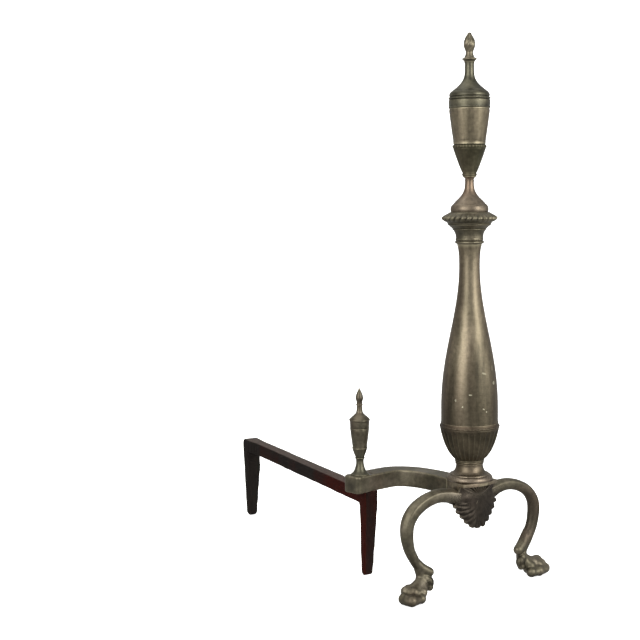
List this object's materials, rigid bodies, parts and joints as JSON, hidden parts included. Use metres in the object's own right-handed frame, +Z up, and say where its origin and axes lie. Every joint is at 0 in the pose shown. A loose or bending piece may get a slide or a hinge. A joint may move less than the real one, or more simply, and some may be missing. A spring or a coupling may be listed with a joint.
{
  "type": "andiron",
  "caption": "Urn-topped baluster andiron on cabriole paw legs with a scallop shell apron, a curved shank with a small urn log stop, and a plain iron billet bar.",
  "frame": {"origin": "on the floor, at the middle of the footprint of the whole andiron", "axes": "+Z up along the post; -Y is the front, where the shell is; +Y runs back along the billet bar; +X is the viewer's right from the front"},
  "size_m": [0.2448, 0.5258, 0.686],
  "materials": {
    "antique_brass": "tarnished antique brass, satin, brighter on worn edges",
    "dark_brass": "tarnished brass, dark in the recesses of the flutes and ribs",
    "column_brass": "tarnished brass with soft upright bands and a few pale flecks",
    "painted_iron": "dark oxblood and black paint over wrought iron, rubbed grey on top",
    "hidden_steel": "plain turned steel"
  },
  "bodies": {
    "root": {"left_leg": "antique_brass", "right_leg": "antique_brass", "plinth": "antique_brass", "leg_screws": "hidden_steel", "shell_apron": "dark_brass", "shell_screws": "hidden_steel", "base_spool": "antique_brass", "fluted_cup": "dark_brass", "column": "column_brass", "capital": "antique_brass", "urn_pedestal": "antique_brass", "urn_calyx": "dark_brass", "urn_body": "column_brass", "urn_lid": "antique_brass", "flame_finial": "antique_brass", "urn_rod": "hidden_steel", "tie_rod": "hidden_steel", "tie_rod_washer": "hidden_steel", "tie_rod_nut": "hidden_steel", "shank": "antique_brass", "billet_bar": "painted_iron", "bar_screw": "hidden_steel", "log_stop": "antique_brass", "log_stop_stud": "hidden_steel"}
  },
  "joints": []
}
